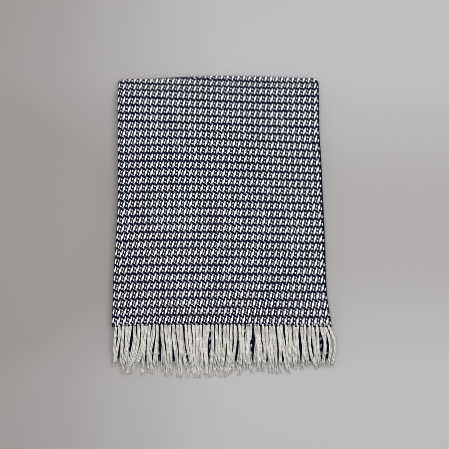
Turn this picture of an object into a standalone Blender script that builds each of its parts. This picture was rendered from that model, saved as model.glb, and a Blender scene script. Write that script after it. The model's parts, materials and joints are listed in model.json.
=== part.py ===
# A thick woven throw blanket with a yarn fringe on both ends, folded into a flat stack.
# Metres, +Z up. The fringed hems are at the front (-Y) and the big fold at the back (+Y).
# The lowest ply lies flat on the floor at z = 0.

from collections import namedtuple
from math import cos, pi, sin

import bmesh
import bpy

MM = 0.001

# Cloth
SHEET_THICKNESS = 2.2 * MM
PLY_PITCH_MIDDLE = 3.2 * MM     # rise from one ply to the next, away from the sides
PLY_PITCH_SIDE = 3.0 * MM       # the stack is pressed thinner along its side edges
SIDE_PINCH_POWER = 6
GAP = 0.3 * MM                  # between touching pieces

# Plan of the folded stack
BACK_FOLD_Y = 308 * MM
FRONT_FOLD_Y = -283 * MM
UPPER_HEM_Y = -207.5 * MM
LOWER_HEM_Y = -180 * MM

# The X of the top ply's side edges by Y, in mm: the stack flares towards the hems
Mark = namedtuple("Mark", "at value")
LEFT_EDGE = (
    Mark(-283, -222.5), Mark(-207.5, -226.0), Mark(-155, -223.6), Mark(-106, -222.4), Mark(-57, -219.2),
    Mark(-7, -215.8), Mark(42, -213.4), Mark(308, -213.0),
)
RIGHT_EDGE = (
    Mark(-283, 220.0), Mark(-207.5, 222.0), Mark(-180, 217.6), Mark(-155, 213.0), Mark(-106, 209.0),
    Mark(-57, 207.2), Mark(-7, 204.6), Mark(42, 201.8), Mark(141, 198.2), Mark(190, 195.4), Mark(308, 194.6),
)

# How far the back fold is drawn in, in mm, by the share of the width. Both folds have round corners.
BACK_BOW = (
    Mark(0, 7.5), Mark(0.16, 5.8), Mark(0.3, 2.6), Mark(0.45, 0), Mark(0.62, 0), Mark(0.8, 2.1), Mark(0.92, 4.2),
    Mark(1, 5.2),
)
CORNER_CUT = 5 * MM
CORNER_SHARE = 0.96

# A ply sinks over this run where the ones below it end, down to its loft in the roll
FALL_AT_BACK = 31 * MM
FALL_AT_FRONT = 17 * MM
LOFT_AT_BACK = 0.10
LOFT_AT_FRONT = 0.38

BACK = 1
FRONT = -1

# The cloth runs from its upper hem through these folds to its lower hem.
# Plies count from the top. The recess is how far a fold stays inside the outer one, in mm.
PLY_COUNT = 8
Fold = namedtuple("Fold", "from_ply to_ply side recess")
FOLDS = (
    Fold(1, 8, BACK, 0.0),
    Fold(8, 3, FRONT, 0.0),
    Fold(3, 4, BACK, 38.0),
    Fold(4, 5, FRONT, 20.0),
    Fold(5, 6, BACK, 34.0),
    Fold(6, 7, FRONT, 24.0),
    Fold(7, 2, BACK, 3.3),
)

# How far each ply's side edges stand out from the stack's outline, in mm
Sides = namedtuple("Sides", "ply left right")
SIDES = (
    Sides(1, 0.0, 0.0),
    Sides(8, 1.5, 2.5),
    Sides(3, -2.0, 3.0),
    Sides(4, 1.0, 0.5),
    Sides(5, -1.5, 2.0),
    Sides(6, 0.5, 0.5),
    Sides(7, -2.5, 2.0),
    Sides(2, -1.0, 2.5),
)

# Mesh steps
COLUMNS = 8
FOLD_STEPS = 6
END_STEPS = {BACK: (0.0, 8.0, 16.0, 24.0, 33.0), FRONT: (0.0, 5.0, 10.5, 16.5, 30.0)}   # mm from the fold
START_ROUNDS = 8                # rounds in which a fold's radius and its start settle on each other

# Fringe
STRIP_DEPTH = 4.0 * MM
STRAND_HEIGHT = 2.0 * MM
STRAND_TAPER = 0.66             # width of a strand's top over its foot
FALL_SLOPE = 2.4                # rise over run of a strand hanging past the front fold
FALL_SOFTENING = 3 * MM
REST_GAP = 0.9 * MM             # between a strand and the cloth or strand under it
ROOT_SETTLE = 16 * MM           # run in which a strand sinks from its hem onto the next ply
PROFILE_STEP = 1 * MM
PROFILE_STEPS = 150             # the fringe's line is worked out so far in front of the lower hem
BENDS = (46.0, 28.0, 21.0, 14.0, 8.0, 2.5, -1.5, -5.0, -9.0)  # a strand's points, mm behind the front fold
TIP_RUN = 3 * MM                # the least length of a strand's last step
STRAND_SHARE = 0.965            # strands at the corners hang as those this far along the hem

Fringe = namedtuple("Fringe", "name ply hem bundles width pair_gap root_left root_right")
UPPER_FRINGE = Fringe("fringe_upper", 1, UPPER_HEM_Y, 28, 4.6 * MM, 1.0 * MM, 3 * MM, 3 * MM)
LOWER_FRINGE = Fringe("fringe_lower", 2, LOWER_HEM_Y, 22, 4.6 * MM, 2.5 * MM, 5 * MM, 3 * MM)

# Where the upper strands' tips lie on the floor, by place along the hem, in mm
UPPER_TIPS = (
    Mark(-240, -290), Mark(-200, -299), Mark(-170, -306), Mark(-90, -309), Mark(20, -308),
    Mark(65, -299), Mark(100, -306), Mark(150, -303), Mark(190, -297), Mark(240, -299),
)
LOWER_TIPS_BEHIND_FOLD = 3 * MM   # the lower strands end on the front fold's round face

# The strands fan out, most of all near the corners, and sway together
FAN_LEFT = 5 * MM
FAN_RIGHT = 13 * MM
FAN_POWER = 3
SPREAD_SHARE = 0.625            # the share of its length over which a pair of strands spreads apart
SWAY = 3.0 * MM
SWAY_WAVE = 13 * MM             # the sway turns over along the hem in 2 pi times this

NAVY = (0.020, 0.024, 0.055, 1.0)
CREAM = (0.62, 0.60, 0.53, 1.0)


def smooth(t):
    t = min(max(t, 0.0), 1.0)
    return t * t * (3 - 2 * t)


def mix(a, b, t):
    return a + (b - a) * t


def lookup(table, at):
    """A value between a table's marks. Past its ends the end mark holds."""
    if at <= table[0].at:
        return table[0].value
    for here, after in zip(table, table[1:]):
        if at <= after.at:
            return mix(here.value, after.value, (at - here.at) / (after.at - here.at))
    return table[-1].value


def corner(u):
    """How far both folds are drawn in at a place u across the cloth, 0 left to 1 right."""
    past = max(abs(2 * u - 1) - CORNER_SHARE, 0) / (1 - CORNER_SHARE)
    return CORNER_CUT * past ** 2


def reach(side, u, recess):
    """The Y that a fold's centre line reaches."""
    if side == FRONT:
        return FRONT_FOLD_Y + SHEET_THICKNESS / 2 + recess + corner(u)
    return BACK_FOLD_Y - SHEET_THICKNESS / 2 - recess - lookup(BACK_BOW, u) * MM - corner(u)


def recess_of(ply, side):
    for fold in FOLDS:
        if fold.side == side and ply in (fold.from_ply, fold.to_ply):
            return fold.recess * MM
    return None


def presence(ply, y, u):
    """1 over a ply, falling past its fold. Past the lower hem its fringe keeps the height."""
    share = 1.0
    for side, fall, loft in ((BACK, FALL_AT_BACK, LOFT_AT_BACK), (FRONT, FALL_AT_FRONT, LOFT_AT_FRONT)):
        recess = recess_of(ply, side)
        if recess is None:
            continue
        past = (y - reach(side, u, recess)) * side
        share = min(share, 1 - (1 - loft) * smooth(past / fall))
    return share


def height(ply, y, u):
    """The centre of a ply's thickness: it lies on the plies below it."""
    pitch = mix(PLY_PITCH_MIDDLE, PLY_PITCH_SIDE, abs(2 * u - 1) ** SIDE_PINCH_POWER)
    under = sum(presence(below, y, u) for below in range(ply + 1, PLY_COUNT + 1))
    return SHEET_THICKNESS / 2 + pitch * under


def fold_start(fold, u):
    """The Y where a fold's half circle starts, and its radius."""
    tip = reach(fold.side, u, fold.recess * MM)
    radius = PLY_PITCH_MIDDLE
    for _ in range(START_ROUNDS):
        start = tip - fold.side * radius
        radius = abs(height(fold.from_ply, start, u) - height(fold.to_ply, start, u)) / 2
    return tip - fold.side * radius, radius


def ply_run(ply, index, start, end, u):
    """Points along one ply, closer together near its ends."""
    length = abs(end - start)
    way = 1 if end > start else -1
    near = [step * MM for step in END_STEPS[-way]]
    far = [length - step * MM for step in reversed(END_STEPS[way])]
    points = []
    for distance in near + [(near[-1] + far[0]) / 2] + far:
        y = start + way * distance
        points.append((y, height(ply, y, u), index + distance / length - 0.5))
    return points


def fold_run(fold, index, u):
    """Points round a fold, without the two where the plies begin."""
    start, radius = fold_start(fold, u)
    high = height(fold.from_ply, start, u)
    low = height(fold.to_ply, start, u)
    points = []
    for k in range(1, FOLD_STEPS):
        angle = pi * k / FOLD_STEPS
        y = start + fold.side * radius * sin(angle)
        z = (high + low) / 2 + (high - low) / 2 * cos(angle)
        points.append((y, z, index + 0.5))
    return points


def section(u):
    """The whole cloth in section, from the upper hem to the lower one: Y, Z, place along it."""
    points = []
    start = UPPER_HEM_Y
    for index, fold in enumerate(FOLDS):
        end = fold_start(fold, u)[0]
        points += ply_run(fold.from_ply, index, start, end, u)
        points += fold_run(fold, index, u)
        start = end
    points += ply_run(FOLDS[-1].to_ply, len(FOLDS), start, LOWER_HEM_Y, u)
    return points


def side_shift(place):
    """The left and right edges' shifts at a place along the cloth, eased from ply to ply."""
    first = min(max(int(place), 0), len(SIDES) - 2)
    t = smooth(place - first)
    here, after = SIDES[first], SIDES[first + 1]
    return mix(here.left, after.left, t) * MM, mix(here.right, after.right, t) * MM


def across(u, y, place):
    """The X of a point at a share u of the cloth's width."""
    left_out, right_out = side_shift(place)
    left = lookup(LEFT_EDGE, y / MM) * MM - left_out
    right = lookup(RIGHT_EDGE, y / MM) * MM + right_out
    return mix(left, right, u)


def column_share(column):
    """Columns lie closer together towards the sides."""
    return (1 - cos(pi * column / COLUMNS)) / 2


def link(mesh, name, collection, material):
    item = bpy.data.objects.new(name, mesh)
    collection.objects.link(item)
    mesh.materials.clear()
    mesh.materials.append(material)
    return item


def finish(name, color, roughness):
    material = bpy.data.materials.new(name)
    material.use_nodes = True
    surface = material.node_tree.nodes["Principled BSDF"]
    surface.inputs["Base Color"].default_value = color
    surface.inputs["Roughness"].default_value = roughness
    surface.inputs["Metallic"].default_value = 0.0
    return material


def sheet(name, rows, collection, material):
    """A sheet of cloth. rows(u) gives the points of one column of the grid: Y, Z, place."""
    columns = [rows(column_share(column)) for column in range(COLUMNS + 1)]
    count = len(columns[0])
    mesh = bpy.data.meshes.new(name)
    shape = bmesh.new()
    bmesh.ops.create_grid(shape, x_segments=COLUMNS, y_segments=count - 1, size=0.5)
    for vertex in shape.verts:
        column = round((vertex.co.x + 0.5) * COLUMNS)
        row = round((vertex.co.y + 0.5) * (count - 1))
        y, z, place = columns[column][row]
        vertex.co = (across(column_share(column), y, place), y, z)
    shape.to_mesh(mesh)
    shape.free()
    item = link(mesh, name, collection, material)
    thick = item.modifiers.new("thickness", "SOLIDIFY")
    thick.thickness = SHEET_THICKNESS
    thick.offset = 0
    thick.use_even_offset = True
    return item


def applied(item):
    """The object's evaluated shape as a plain mesh."""
    graph = bpy.context.evaluated_depsgraph_get()
    return bpy.data.meshes.new_from_object(item.evaluated_get(graph))


def front_edge(u):
    """The Y of the front fold's outer face."""
    return reach(FRONT, u, 0.0) - SHEET_THICKNESS / 2


def front_surface(u):
    """The top of the cloth by Y in front of the lower hem, with the roll of the front fold."""
    start, radius = fold_start(FOLDS[1], u)
    outer = radius + SHEET_THICKNESS / 2
    middle = (height(3, start, u) + height(8, start, u)) / 2
    surface = []
    for step in range(PROFILE_STEPS):
        y = LOWER_HEM_Y - step * PROFILE_STEP
        if y >= start:
            z = height(3, y, u) + SHEET_THICKNESS / 2
        elif y > start - outer:
            z = middle + (outer ** 2 - (start - y) ** 2) ** 0.5
        else:
            z = 0.0
        surface.append(z)
    return surface


def laid_on(surface, clearance):
    """The centre line of yarn laid over a surface, at its clearance, down to the floor."""
    reach_steps = int(clearance / PROFILE_STEP)
    drape = []
    level = 0.0
    for k in range(len(surface)):
        level = max(STRAND_HEIGHT / 2, level - FALL_SLOPE * PROFILE_STEP)
        for j in range(max(k - reach_steps, 0), min(k + reach_steps + 1, len(surface))):
            if surface[j] > 0:
                rise = (clearance ** 2 - ((j - k) * PROFILE_STEP) ** 2) ** 0.5
                level = max(level, surface[j] + rise)
        drape.append(level)
    soft_steps = round(FALL_SOFTENING / PROFILE_STEP)
    eased = []
    for k, level in enumerate(drape):
        around = drape[max(k - soft_steps, 0):k + soft_steps + 1]
        eased.append(max(level, sum(around) / len(around)))
    return eased


def fringe_lines(u):
    """The heights of the lower and of the upper strands' centre lines by Y."""
    lower = laid_on(front_surface(u), REST_GAP + STRAND_HEIGHT / 2)
    last = front_edge(u) - STRAND_HEIGHT / 2
    carried = [z if LOWER_HEM_Y - k * PROFILE_STEP >= last else 0.0 for k, z in enumerate(lower)]
    return lower, laid_on(carried, STRAND_HEIGHT + REST_GAP)


def read(profile, y):
    """A height by Y from a list with one value for each step in front of the lower hem."""
    place = (LOWER_HEM_Y - y) / PROFILE_STEP
    first = min(max(int(place), 0), len(profile) - 2)
    return mix(profile[first], profile[first + 1], min(max(place - first, 0.0), 1.0))


def roots(fringe):
    """The strands' places along the hem as shares of its width: two strands to a bundle."""
    left = across(0, fringe.hem, FOLD_PLACE[fringe.ply]) + fringe.root_left
    right = across(1, fringe.hem, FOLD_PLACE[fringe.ply]) - fringe.root_right
    pitch = (right - left) / fringe.bundles
    half = (fringe.width + fringe.pair_gap) / 2
    places = []
    for bundle in range(fringe.bundles):
        middle = left + pitch * (bundle + 0.5)
        places += [(middle, middle - half), (middle, middle + half)]
    return pitch, places


def strand_points(fringe, pitch, bundle_x, root_x):
    """One strand's centre line, from inside the strip, over the front fold, to its tip."""
    left = across(0, UPPER_HEM_Y, FOLD_PLACE[UPPER_FRINGE.ply])
    right = across(1, UPPER_HEM_Y, FOLD_PLACE[UPPER_FRINGE.ply])
    share = (root_x - left) / (right - left)
    u = min(max(share, 1 - STRAND_SHARE), STRAND_SHARE)
    lower, upper = fringe_lines(u)
    edge = front_edge(u)
    root_y = fringe.hem - GAP - STRIP_DEPTH / 2
    if fringe is UPPER_FRINGE:
        line, end_y = upper, lookup(UPPER_TIPS, root_x / MM) * MM
    else:
        line, end_y = lower, edge + LOWER_TIPS_BEHIND_FOLD
    stations = [root_y, root_y - ROOT_SETTLE]
    stations += [edge + bend * MM for bend in BENDS if edge + bend * MM > end_y + TIP_RUN]
    stations.append(end_y)
    hem_level = height(fringe.ply, root_y, u)
    side = 1 if root_x > bundle_x else -1
    spread = side * (pitch / 4 - abs(root_x - bundle_x))
    fan = (FAN_RIGHT if share > 0.5 else FAN_LEFT) * (2 * share - 1) ** FAN_POWER
    sway = SWAY * sin(root_x / SWAY_WAVE)
    points = []
    for y in stations:
        way = (root_y - y) / (root_y - end_y)
        x = root_x + (spread + sway) * smooth(way / SPREAD_SHARE) + fan * smooth(way)
        z = mix(hem_level, read(line, y), smooth((root_y - y) / ROOT_SETTLE))
        points.append((x, y, z))
    return points


# Each ply's place along the cloth, counted in plies from the upper hem
FOLD_PLACE = {fold.from_ply: index for index, fold in enumerate(FOLDS)}
FOLD_PLACE[FOLDS[-1].to_ply] = len(FOLDS)


def strand_section(width):
    """A strand's outline for the curves' bevel: flat below and narrower above."""
    outline = bpy.data.curves.new("strand outline", "CURVE")
    outline.dimensions = "2D"
    spline = outline.splines.new("POLY")
    spline.points.add(3)
    half, high = width / 2, STRAND_HEIGHT / 2
    corners = ((-half, -high), (half, -high), (half * STRAND_TAPER, high), (-half * STRAND_TAPER, high))
    for point, (x, y) in zip(spline.points, corners):
        point.co = (x, y, 0, 1)
    spline.use_cyclic_u = True
    return bpy.data.objects.new("strand outline", outline)


def strands(fringe, guides):
    """All strands of one fringe as one mesh of separate bodies."""
    outline = strand_section(fringe.width)
    guides.objects.link(outline)
    outline.hide_render = True
    outline.display_type = "WIRE"
    curve = bpy.data.curves.new("strands", "CURVE")
    curve.dimensions = "3D"
    curve.twist_mode = "Z_UP"
    curve.bevel_mode = "OBJECT"
    curve.bevel_object = outline
    curve.use_fill_caps = True
    pitch, places = roots(fringe)
    for bundle_x, root_x in places:
        points = strand_points(fringe, pitch, bundle_x, root_x)
        spline = curve.splines.new("POLY")
        spline.points.add(len(points) - 1)
        for target, point in zip(spline.points, points):
            target.co = (*point, 1)
    item = bpy.data.objects.new("strands", curve)
    guides.objects.link(item)
    mesh = applied(item)
    bpy.data.objects.remove(item)
    shape = bmesh.new()
    shape.from_mesh(mesh)
    bmesh.ops.remove_doubles(shape, verts=shape.verts, dist=0.00001)
    bmesh.ops.recalc_face_normals(shape, faces=shape.faces)
    shape.to_mesh(mesh)
    shape.free()
    return mesh


def build_fringe(fringe, parts, guides, material):
    """A narrow woven strip just in front of the hem, with the strands fused into it."""
    place = FOLD_PLACE[fringe.ply]

    def rows(u):
        edges = (fringe.hem - GAP, fringe.hem - GAP - STRIP_DEPTH)
        return [(y, height(fringe.ply, edges[0], u), place) for y in edges]

    strip = sheet(fringe.name, rows, parts, material)
    yarn = bpy.data.objects.new("yarn", strands(fringe, guides))
    guides.objects.link(yarn)
    yarn.hide_render = True
    yarn.display_type = "WIRE"
    join = strip.modifiers.new("roots", "BOOLEAN")
    join.operation = "UNION"
    join.solver = "EXACT"
    join.object = yarn
    return strip


def main():
    for item in list(bpy.data.objects):
        bpy.data.objects.remove(item)
    parts = bpy.data.collections.new("folded fringed throw blanket")
    guides = bpy.data.collections.new("guides")
    for collection in (parts, guides):
        bpy.context.scene.collection.children.link(collection)
    cloth_finish = finish("navy and cream woven cloth", NAVY, 0.9)
    yarn_finish = finish("cream yarn", CREAM, 0.9)
    sheet("cloth", section, parts, cloth_finish)
    build_fringe(UPPER_FRINGE, parts, guides, yarn_finish)
    build_fringe(LOWER_FRINGE, parts, guides, yarn_finish)


main()
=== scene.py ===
# Folded woven throw blanket: navy and cream colour-and-weave cloth with a cream yarn fringe.
# The folds repeat the part's own sizes. The weave is laid yarn by yarn on the faces that show.

import json
import random
from math import cos, pi, radians, sin

import bpy
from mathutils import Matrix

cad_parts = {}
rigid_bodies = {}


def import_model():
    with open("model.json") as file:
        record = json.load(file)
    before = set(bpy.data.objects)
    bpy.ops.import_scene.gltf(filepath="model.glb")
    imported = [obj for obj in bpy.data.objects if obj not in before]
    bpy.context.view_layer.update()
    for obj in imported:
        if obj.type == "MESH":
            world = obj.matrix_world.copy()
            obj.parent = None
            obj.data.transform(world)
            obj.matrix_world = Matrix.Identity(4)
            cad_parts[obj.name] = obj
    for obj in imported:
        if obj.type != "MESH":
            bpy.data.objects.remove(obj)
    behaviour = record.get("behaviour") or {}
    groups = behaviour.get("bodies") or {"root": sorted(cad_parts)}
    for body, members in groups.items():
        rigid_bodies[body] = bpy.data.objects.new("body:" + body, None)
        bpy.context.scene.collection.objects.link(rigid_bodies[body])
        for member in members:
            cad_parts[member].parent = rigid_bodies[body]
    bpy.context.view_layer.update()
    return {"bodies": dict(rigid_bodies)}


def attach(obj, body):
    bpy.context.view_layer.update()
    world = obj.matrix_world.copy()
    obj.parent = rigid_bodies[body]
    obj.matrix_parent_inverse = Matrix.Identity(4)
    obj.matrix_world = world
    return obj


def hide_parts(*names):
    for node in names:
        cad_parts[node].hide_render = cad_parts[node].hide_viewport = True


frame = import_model()
body = next(iter(frame["bodies"]))
mm = 0.001


# Small helpers

def mix(a, b, t):
    return a + (b - a) * t


def smooth(t):
    t = min(max(t, 0.0), 1.0)
    return t * t * (3 - 2 * t)


# sRGB hex to linear RGBA
def linear(hexColour):
    parts = [int(hexColour[k:k + 2], 16) / 255 for k in (0, 2, 4)]
    return tuple(c / 12.92 if c <= 0.04045 else ((c + 0.055) / 1.055) ** 2.4 for c in parts) + (1.0,)


# Gives each input a link or a value. A node stands for its first output.
def feed(tree, node, inputs):
    for key, value in inputs.items():
        if isinstance(value, bpy.types.Node):
            value = value.outputs[0]
        if isinstance(value, bpy.types.NodeSocket):
            tree.links.new(value, node.inputs[key])
        else:
            node.inputs[key].default_value = value


# Adds a node with its settings and then its inputs.
def addNode(tree, kind, inputs=None, **settings):
    node = tree.nodes.new(kind)
    for name, value in settings.items():
        setattr(node, name, value)
    feed(tree, node, inputs or {})
    return node


# Adds a node that calculates with numbers.
def calc(tree, operation, *values, **settings):
    return addNode(tree, "ShaderNodeMath", dict(enumerate(values)), operation=operation, **settings)


# Adds a node that calculates with vectors.
def calcVector(tree, operation, *values):
    return addNode(tree, "ShaderNodeVectorMath", dict(enumerate(values)), operation=operation)


# Sets a Geometry Nodes modifier's inputs, found by name and set by identifier.
def setInputs(modifier, values):
    for item in modifier.node_group.interface.items_tree:
        if item.item_type == "SOCKET" and item.in_out == "INPUT" and item.name in values:
            modifier[item.identifier] = values[item.name]


def addObject(name, data):
    item = bpy.data.objects.new(name, data)
    bpy.context.scene.collection.objects.link(item)
    return item


# Grows yarns on an object with a tree and keeps the result as a plain mesh in the object's place.
def growYarns(source, tree, values):
    modifier = source.modifiers.new("yarns", "NODES")
    modifier.node_group = tree
    setInputs(modifier, values)
    graph = bpy.context.evaluated_depsgraph_get()
    mesh = bpy.data.meshes.new_from_object(source.evaluated_get(graph))
    name = source.name
    mesh.name = name
    bpy.data.objects.remove(source)
    return addObject(name, mesh)


# An empty mesh object for yarns that need no lines of their own to grow on.
def carrier(name):
    return addObject(name, bpy.data.meshes.new(name))


def newMaterial(name):
    material = bpy.data.materials.new(name)
    material.use_nodes = True
    return material, material.node_tree, material.node_tree.nodes["Principled BSDF"]


# The fold: the part's own sizes, in mm

fold = {
    "sheet": 2.2,
    "pitchMiddle": 3.2,  # from ply to ply in the middle of the width
    "pitchSide": 3.0,  # and at the side edges
    "sidePressing": 6,  # the higher, the nearer to the side edges the plies draw together
    "backY": 308.0,
    "frontY": -283.0,
    "upperHemY": -207.5,
    "lowerHemY": -180.0,
    # the side edges of the top ply by Y, and of the plies under it
    "leftEdge": ((-283, -222.5), (-207.5, -226.0), (-155, -223.6), (-106, -222.4), (-57, -219.2),
                 (-7, -215.8), (42, -213.4), (308, -213.0)),
    "rightEdge": ((-283, 221.0), (-207.5, 224.5), (-180, 220.5), (-155, 215.2), (-106, 211.4), (-57, 210.4),
                  (-7, 208.4), (42, 205.3), (141, 201.6), (190, 197.4), (308, 196.8)),
    "leftUnder": ((-283, -216.0), (-207.5, -218.5), (-106, -219.5), (-57, -218.4), (-7, -215.8),
                  (42, -213.4), (308, -213.0)),
    "rightUnder": ((-283, 219.0), (-207.5, 219.5), (-155, 213.4), (-106, 210.8), (-57, 210.0), (-7, 208.0),
                   (42, 205.3), (141, 200.8), (190, 197.4), (308, 196.8)),
    # how far the back turn is drawn in by the share of the width
    "backBow": ((0, 7.5), (0.16, 5.8), (0.3, 2.6), (0.45, 0), (0.62, 0), (0.8, 2.1), (0.92, 4.2), (1, 5.2)),
    "cornerCut": 6.0,  # how far a turn's outermost corners are drawn in
    "cornerShare": 0.97,
    "fall": {1: 31.0, -1: 17.0},  # past a turn below it a ply comes down over this length
    "loft": {1: 0.10, -1: 0.38},  # and keeps this share of the height
    "shownSheet": 1.5,  # thickness of the drawn sheet under the laid yarns
    "columns": 36,
    "turnSteps": 10,
    "middleSteps": 12,
    # the rows of points near a ply's ends, by their distance from the end
    "endSteps": {1: (0, 4, 8, 12, 16, 20, 24, 28, 33, 40), -1: (0, 2.5, 5, 8, 11, 14, 17, 20, 30)},
    # side 1 is the back and -1 the front; plies count from the top
    "turns": [
        {"upper": 1, "next": 8, "side": 1, "recess": 0.0},
        {"upper": 8, "next": 3, "side": -1, "recess": 0.0},
        {"upper": 3, "next": 4, "side": 1, "recess": 38.0},
        {"upper": 4, "next": 5, "side": -1, "recess": 20.0},
        {"upper": 5, "next": 6, "side": 1, "recess": 34.0},
        {"upper": 6, "next": 7, "side": -1, "recess": 24.0},
        {"upper": 7, "next": 2, "side": 1, "recess": 3.3},
    ],
    # how far each ply's edges stand out, in the cloth's order: ply, left, right
    "plySides": [(1, 0.0, 0.0), (8, 1.5, 2.5), (3, -2.0, 3.0), (4, 1.0, 0.5), (5, -1.5, 2.0), (6, 0.5, 0.5),
                 (7, -2.5, 2.0), (2, -1.0, 2.5)],
}


# The value at a place in a table of (place, value) pairs, straight between them.
def lookup(table, at):
    if at <= table[0][0]:
        return table[0][1]
    for (x0, y0), (x1, y1) in zip(table, table[1:]):
        if at <= x1:
            return mix(y0, y1, (at - x0) / (x1 - x0))
    return table[-1][1]


# Y of a turn's outermost point.
def foldReach(side, u, recess):
    past = max(abs(2 * u - 1) - fold["cornerShare"], 0) / (1 - fold["cornerShare"])
    corner = fold["cornerCut"] * past ** 2
    if side < 0:
        return fold["frontY"] + fold["sheet"] / 2 + recess + corner
    return fold["backY"] - fold["sheet"] / 2 - recess - lookup(fold["backBow"], u) - corner


# A ply lies on those below it and sinks past their turns.
def plyHeight(ply, y, u):
    pitch = mix(fold["pitchMiddle"], fold["pitchSide"], abs(2 * u - 1) ** fold["sidePressing"])
    height = fold["sheet"] / 2
    for below in range(ply + 1, 9):
        share = 1.0
        for turn in fold["turns"]:
            if below in (turn["upper"], turn["next"]):
                side = turn["side"]
                past = (y - foldReach(side, u, turn["recess"])) * side
                share = min(share, 1 - (1 - fold["loft"][side]) * smooth(past / fold["fall"][side]))
        height += pitch * share
    return height


# Y where a turn's arc starts, and its radius. Each depends on the other, so a loop closes in on both.
def turnStart(turn, u):
    tip = foldReach(turn["side"], u, turn["recess"])
    radius = fold["pitchMiddle"]
    for _ in range(8):
        start = tip - turn["side"] * radius
        radius = abs(plyHeight(turn["upper"], start, u) - plyHeight(turn["next"], start, u)) / 2
    return tip - turn["side"] * radius, radius


# The cloth from its upper hem to its lower hem as (y, z, place), place counting plies.
def clothSection(u):
    points = []
    start = fold["upperHemY"] - rowDrift(u, fold["upperHemY"])
    for index, turn in enumerate(fold["turns"] + [None]):
        ply = turn["upper"] if turn else fold["turns"][-1]["next"]
        end, radius = turnStart(turn, u) if turn else (fold["lowerHemY"], 0)
        length = abs(end - start)
        way = 1 if end > start else -1
        near = list(fold["endSteps"][-way])
        far = [length - step for step in reversed(fold["endSteps"][way])]
        steps = fold["middleSteps"]
        middle = [mix(near[-1], far[0], k / steps) for k in range(1, steps)]
        for distance in near + middle + far:
            y = start + way * distance
            points.append((y, plyHeight(ply, y, u), index + distance / length - 0.5))
        if turn:
            high = plyHeight(turn["upper"], end, u)
            low = plyHeight(turn["next"], end, u)
            for k in range(1, fold["turnSteps"]):
                angle = pi * k / fold["turnSteps"]
                y = end + turn["side"] * radius * sin(angle)
                points.append((y, (high + low) / 2 + (high - low) / 2 * cos(angle), index + 0.5))
        start = end
    return points


# X of the cloth at a share of its width, eased from ply to ply.
def clothX(u, y, place):
    sides = fold["plySides"]
    first = min(max(int(place), 0), len(sides) - 2)
    ease = smooth(place - first)
    under = smooth(place)
    left = mix(lookup(fold["leftEdge"], y), lookup(fold["leftUnder"], y), under)
    right = mix(lookup(fold["rightEdge"], y), lookup(fold["rightUnder"], y), under)
    left -= mix(sides[first][1], sides[first + 1][1], ease)
    right += mix(sides[first][2], sides[first + 1][2], ease)
    return mix(left, right, u)


# The weave's repeat, charted from the hem upwards: W and o for warp on top, h, l and n for weft.

weave = {
    "chart": ("hlnl", "onol", "WWhn", "WWnh", "nolo", "lhln"),
    # how far the warp leans to the right, in ends, by the same rows
    "leans": ((-0.3, 0.0, 0.1, 0.3), (0.0, -0.3, 0.2, 0.2), (0.2, -0.3, 0.45, 0.0),
              (0.3, -0.2, 0.0, -0.45), (0.3, 0.0, -0.2, -0.2), (0.0, 0.3, -0.3, -0.1)),
    "levels": {"W": 1.0, "o": 0.7, "h": -0.04, "l": -0.55, "n": -1.0},
    "endsPerRepeat": 4,
    "picksPerRepeat": 6,
    "repeatsAcross": 36.5,
    "rowPitch": ((-208, 17.6), (-160, 17.3), (-90, 17.1), (-20, 16.8), (50, 16.1), (100, 15.7), (308, 15.7)),
    "hiddenPitch": 16.2,  # rows of the plies below the top one
    "topPast": 4,  # picks that the laid weave goes on past the back fold
    "rollBefore": 2,  # picks laid before the front fold
    "rollPast": 38,  # and after it
    "clothWidth": 430,  # for yarn that goes on past a side edge
    "columnShift": -1,  # ends by which the pattern starts late at the left edge
    "rowShift": 1,  # picks of the last row that come first at the hem
    "warpWidth": 2.5,
    "warpHeight": 1.7,
    "weftWidth": 2.5,
    "weftHeight": 1.5,
    "sides": 4,
    "swell": (0.9, 1.06),  # thinnest and thickest yarn
    "risen": 0.2,  # yarn looks so much thicker where it lies on top, and thinner below
    "depth": 0.75,  # how far yarn goes up and down
    "rollDepth": 0.5,
    "lift": 1.15,
    # the sunk warps leave a mostly navy face that stands in for the shade under the fringe
    "rollSunk": 1.5,  # at the front fold the warps lie so much lower, and mostly weft shows
    "lowest": 1.1,  # height of the lowest yarn's middle over the floor
    "warpLean": 0.8,
    "weftWave": 0.28,  # in picks
    "waves": (0.0, 0.2, 1.0, -1.0),
    "innerWave": 0.3,  # share of that wave in the picks between the cream ones
    "jitter": 0.16,
    "jitterRange": ((-1, -1, -0.6), (1, 1, 0.6)),
    "edgeShare": 0.0005,  # where the cloth is last sampled at its side edges
    "rowSlant": 8.1,
    "slantCurve": 1.4,
    "rowArch": 4.1,
    "backArch": -2.0,
    "backArchFrom": 140,  # from this Y to the back the rows arch the other way
    "backArchOver": 130,
    "rowWave": 3.0,
    "groundFloat": 0.46,  # half the width of a flat drawn float, in ends
}
endCount = int(weave["endsPerRepeat"] * weave["repeatsAcross"])


# The pattern's rows drift: they run down to the right towards the back, and arch a little.
def rowDrift(u, y):
    x = 2 * u - 1
    t = min(max((y - fold["upperHemY"]) / (fold["backY"] - fold["upperHemY"]), 0), 1)
    slant = weave["rowSlant"] * t ** weave["slantCurve"]
    archShare = smooth((y - weave["backArchFrom"]) / weave["backArchOver"])
    arch = mix(weave["rowArch"], weave["backArch"], archShare)
    return slant * x + arch * x * x + weave["rowWave"] * x * (1 - x * x)


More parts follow.
